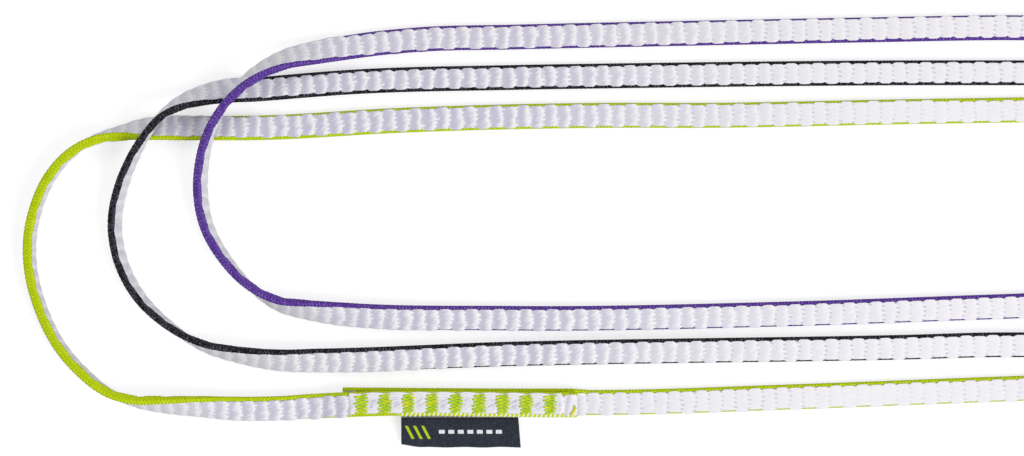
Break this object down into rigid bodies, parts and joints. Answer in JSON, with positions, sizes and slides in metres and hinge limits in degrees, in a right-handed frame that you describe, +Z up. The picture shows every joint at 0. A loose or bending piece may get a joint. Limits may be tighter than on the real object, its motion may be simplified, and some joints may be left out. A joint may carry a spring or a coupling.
{
  "type": "sewn webbing sling set",
  "caption": "Sewn runner slings of narrow flat webbing with coloured selvedges and a bar-tacked lap seam, laid over one another; one has a folded label.",
  "frame": {"origin": "middle of the whole footprint, on the surface that the slings lie on", "axes": "+X along the long runs to the right as pictured, +Y to the far run, +Z up out of the surface"},
  "size_m": [0.5888, 0.138, 0.015],
  "materials": {
    "polyethylene_webbing": "woven, slightly waxy sheen",
    "green_yarn": "woven selvedge, matt",
    "green_thread": "dense zigzag stitching, satin",
    "black_yarn": "woven selvedge, matt",
    "black_thread": "dense zigzag stitching, satin",
    "purple_yarn": "woven selvedge, matt",
    "purple_thread": "dense zigzag stitching, satin",
    "label_weave": "fine woven ribbon, matt"
  },
  "bodies": {
    "green_sling": {"green_tape": "polyethylene_webbing", "green_inner_edge": "green_yarn", "green_outer_edge": "green_yarn", "green_bartack_1": "green_thread", "green_bartack_2": "green_thread", "green_bartack_3": "green_thread", "green_bartack_4": "green_thread", "green_bartack_5": "green_thread", "green_bartack_6": "green_thread", "green_bartack_7": "green_thread", "green_bartack_8": "green_thread", "green_bartack_9": "green_thread", "label_hem": "label_weave"},
    "label_flag": {"label": "label_weave"},
    "black_sling": {"black_tape": "polyethylene_webbing", "black_inner_edge": "black_yarn", "black_outer_edge": "black_yarn", "black_bartack_1": "black_thread", "black_bartack_2": "black_thread", "black_bartack_3": "black_thread", "black_bartack_4": "black_thread", "black_bartack_5": "black_thread", "black_bartack_6": "black_thread", "black_bartack_7": "black_thread", "black_bartack_8": "black_thread", "black_bartack_9": "black_thread"},
    "purple_sling": {"purple_tape": "polyethylene_webbing", "purple_inner_edge": "purple_yarn", "purple_outer_edge": "purple_yarn", "purple_bartack_1": "purple_thread", "purple_bartack_2": "purple_thread", "purple_bartack_3": "purple_thread", "purple_bartack_4": "purple_thread", "purple_bartack_5": "purple_thread", "purple_bartack_6": "purple_thread", "purple_bartack_7": "purple_thread", "purple_bartack_8": "purple_thread", "purple_bartack_9": "purple_thread"}
  },
  "joints": [
    {"name": "label_flex", "type": "hinge", "parent": "green_sling", "child": "label_flag", "pos_m": [-0.1548, -0.0599, 0.003], "axis": [-1, 0, 0], "range_deg": [0, 80]},
    {"name": "black_lift", "type": "slide", "parent": "green_sling", "child": "black_sling", "axis": [0, 0, 1], "range_m": [0, 0.12]},
    {"name": "purple_lift", "type": "slide", "parent": "black_sling", "child": "purple_sling", "axis": [0, 0, 1], "range_m": [0, 0.12]}
  ]
}
